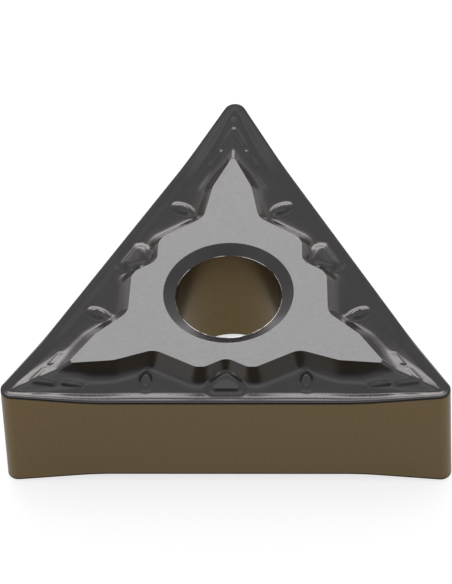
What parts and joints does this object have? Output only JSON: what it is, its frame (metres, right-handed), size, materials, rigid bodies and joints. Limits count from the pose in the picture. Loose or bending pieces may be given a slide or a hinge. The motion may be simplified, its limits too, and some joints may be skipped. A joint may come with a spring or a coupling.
{
  "type": "indexable cutting insert",
  "caption": "Double-sided triangular carbide insert with rounded noses, a wavy cutting edge, a pressed chipbreaker, ground star-shaped seats and a plain clamping bore.",
  "frame": {"origin": "centre of the bore, half way between the two ground seats", "axes": "+Z along the bore's axis, +Y towards one cutting corner"},
  "size_m": [0.016, 0.0139, 0.0048],
  "materials": {
    "coated_carbide": "satin dark oxide coating on sintered carbide, with grey ground seats and bronze flanks and bore"
  },
  "bodies": {
    "root": {"insert": "coated_carbide"}
  },
  "joints": []
}
